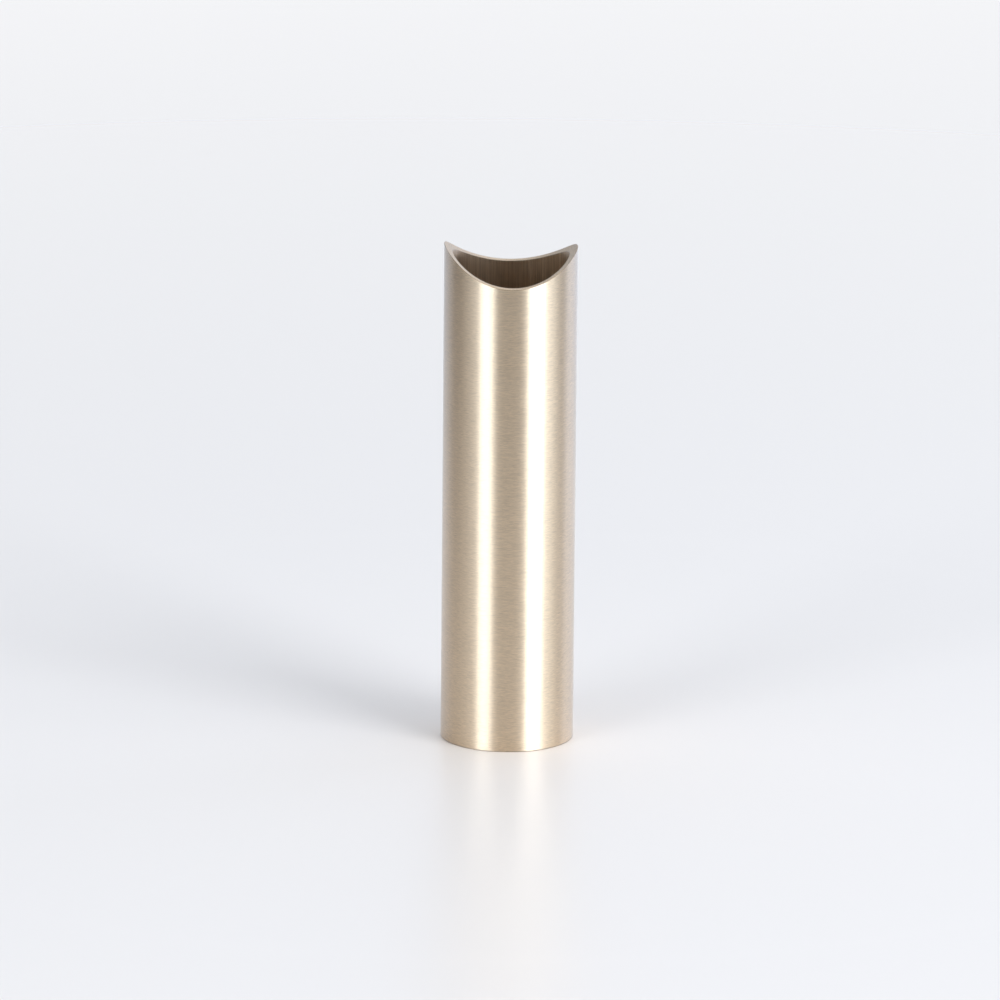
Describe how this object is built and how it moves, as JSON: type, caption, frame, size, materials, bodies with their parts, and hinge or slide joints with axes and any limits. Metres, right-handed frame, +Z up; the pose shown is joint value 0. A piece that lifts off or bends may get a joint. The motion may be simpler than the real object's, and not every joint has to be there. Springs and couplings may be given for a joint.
{
  "type": "candle mold",
  "caption": "Upright brass tube mold for casting a dinner candle, with a saddle-cut mouth, a removable plug in its foot and a screw that pinches the wick.",
  "frame": {"origin": "centre of the tube's foot, on the surface that it stands on", "axes": "+Z up along the tube; the two horns of the mouth point along +X and -X, and its two low points lie at +Y and -Y"},
  "size_m": [0.0254, 0.0254, 0.0966],
  "materials": {
    "brushed_brass": "pale champagne brass, brushed round the tube, dark inside the bore",
    "turned_brass": "plain brass with fine turning marks",
    "silicone_rubber": "matt rust-red silicone"
  },
  "bodies": {
    "mold": {"mold_tube": "brushed_brass"},
    "base": {"base_plug": "turned_brass", "plug_o_ring": "silicone_rubber"},
    "washer": {"screw_washer": "silicone_rubber"},
    "screw": {"wick_screw": "turned_brass"}
  },
  "joints": [
    {"name": "plug_slide", "type": "slide", "parent": "mold", "child": "base", "axis": [0, 0, 1], "range_m": [-0.016, 0.0782]},
    {"name": "washer_travel", "type": "slide", "parent": "base", "child": "washer", "axis": [0, 0, -1], "range_m": [0, 0.0035]},
    {"name": "screw_turn", "type": "hinge", "parent": "washer", "child": "screw", "pos_m": [0, 0, 0.0027], "axis": [0, 0, -1], "range_deg": [0, 1800]}
  ],
  "couplings": [
    {"joint": "screw_turn", "follows": "washer_travel", "rad_per_m": 8976}
  ]
}
